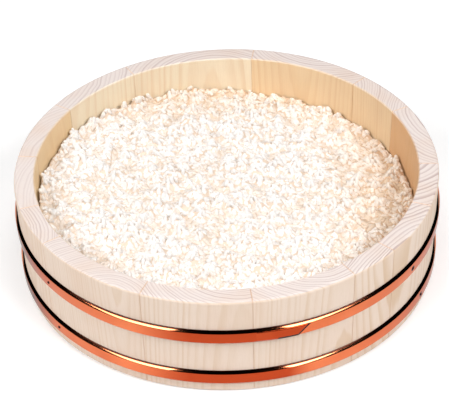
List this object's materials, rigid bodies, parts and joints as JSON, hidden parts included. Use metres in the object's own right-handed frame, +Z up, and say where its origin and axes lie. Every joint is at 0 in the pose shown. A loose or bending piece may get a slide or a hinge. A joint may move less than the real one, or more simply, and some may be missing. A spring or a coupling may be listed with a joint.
{
  "type": "hangiri sushi rice tub",
  "caption": "Shallow round wooden tub of upright staves round a board floor, bound by copper hoops and filled with cooked rice, for dressing sushi rice.",
  "frame": {"origin": "Middle of the tub at the level of its foot, where the staves' lower ends stand on the table.", "axes": "+Z is up out of the tub. -Y is the front, which faces the camera in the picture. +X is to the right as seen from the front."},
  "size_m": [0.3329, 0.333, 0.088],
  "materials": {
    "staves": "planed and sanded pale softwood, not varnished, with white end grain on the rim",
    "floor_boards": "planed pale softwood, not varnished",
    "dowels": "shaved bamboo, hidden inside the wall and floor",
    "hoops": "polished copper strip",
    "tacks": "small flat-headed tacks, darkened",
    "rice": "freshly cooked short-grain rice, loosely heaped"
  },
  "bodies": {
    "root": {"stave_01": "staves", "stave_02": "staves", "stave_03": "staves", "stave_04": "staves", "stave_05": "staves", "stave_06": "staves", "stave_07": "staves", "stave_08": "staves", "stave_09": "staves", "stave_10": "staves", "stave_11": "staves", "stave_12": "staves", "stave_13": "staves", "stave_14": "staves", "floor_board_1": "floor_boards", "floor_board_2": "floor_boards", "floor_board_3": "floor_boards", "floor_board_4": "floor_boards", "stave_dowels": "dowels", "floor_dowels": "dowels", "upper_hoop": "hoops", "lower_hoop": "hoops", "upper_hoop_tacks": "tacks", "lower_hoop_tacks": "tacks", "cooked_rice": "rice"}
  },
  "joints": []
}
